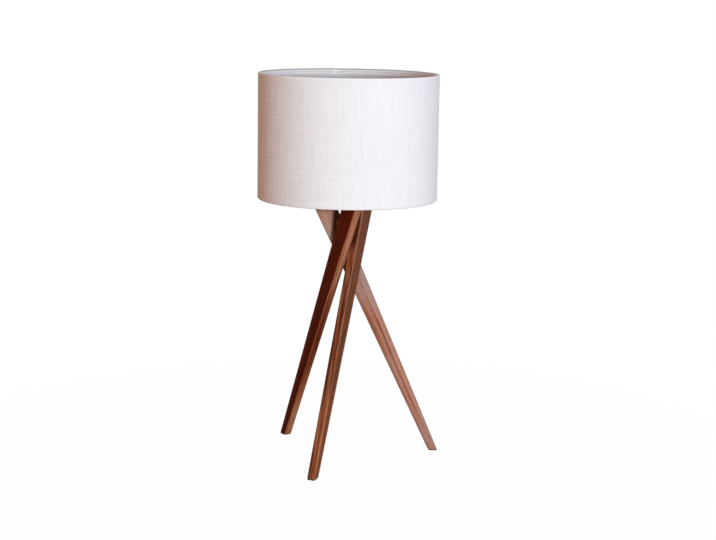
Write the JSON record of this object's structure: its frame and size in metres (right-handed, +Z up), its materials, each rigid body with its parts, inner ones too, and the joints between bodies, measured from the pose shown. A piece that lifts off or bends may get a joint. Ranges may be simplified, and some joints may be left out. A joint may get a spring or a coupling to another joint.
{
  "type": "tripod table lamp",
  "caption": "Table lamp with a linen drum shade on crossed, tapered walnut legs, a lampholder with a push switch and a screw-in bulb.",
  "frame": {"origin": "on the lamp's axis, at the level of the table it stands on", "axes": "+Z up along the lamp's axis; the right leg's wide face looks along +Y; the lamp's front looks along -Y"},
  "size_m": [0.314, 0.3035, 0.6502],
  "materials": {
    "walnut": "oiled walnut",
    "beech": "bare",
    "felt": "pressed felt",
    "brass": "brushed",
    "steel": "zinc plated",
    "black_plastic": "moulded",
    "grey_plastic": "moulded",
    "porcelain": "glazed",
    "white_wire": "powder coated",
    "linen": "slubby linen weave",
    "lining": "satin film",
    "nickel": "plated",
    "circuit_board": "lacquered",
    "bulb_white": "opal"
  },
  "bodies": {
    "stand": {"leg_right": "walnut", "leg_left": "walnut", "leg_front": "walnut", "foot_pad_right": "felt", "foot_pad_left": "felt", "foot_pad_front": "felt", "leg_hub": "walnut", "hub_dowels": "beech", "hub_nut": "brass", "cord_bushing": "black_plastic", "stem_tube": "steel", "hub_washer": "brass", "stem_sleeve": "brass", "holder_cap": "black_plastic", "neck_lock_screw": "steel", "switch_block": "grey_plastic", "contact_block": "porcelain", "terminal_screws": "brass", "centre_contact": "brass", "shell_contact": "brass", "screw_shell": "brass", "holder_skirt": "black_plastic", "shade_ring": "black_plastic"},
    "switch_bar": {"push_bar": "black_plastic"},
    "shade": {"shade_frame": "white_wire", "shade_top_ring": "white_wire", "shade_cover": "linen", "shade_liner": "lining", "shade_top_hem": "linen", "shade_bottom_hem": "linen", "shade_seam": "lining"},
    "bulb_tip": {"bulb_contact": "nickel"},
    "bulb": {"bulb_insulator": "black_plastic", "bulb_cap": "nickel", "bulb_driver": "circuit_board", "bulb_housing": "bulb_white", "led_board": "circuit_board", "bulb_dome": "bulb_white"}
  },
  "joints": [
    {"name": "shade_turn", "type": "hinge", "parent": "stand", "child": "shade", "pos_m": [0, 0, 0.4824], "axis": [0, 0, 1], "continuous": true},
    {"name": "switch_slide", "type": "slide", "parent": "stand", "child": "switch_bar", "axis": [-1, 0, 0], "range_m": [0, 0.006]},
    {"name": "bulb_lift", "type": "slide", "parent": "stand", "child": "bulb_tip", "axis": [0, 0, 1], "range_m": [0, 0.01634]},
    {"name": "bulb_turn", "type": "hinge", "parent": "bulb_tip", "child": "bulb", "pos_m": [0, 0, 0.4881], "axis": [0, 0, 1], "range_deg": [0, 1620]}
  ],
  "couplings": [
    {"joint": "bulb_lift", "follows": "bulb_turn", "m_per_rad": 0.00057757}
  ]
}
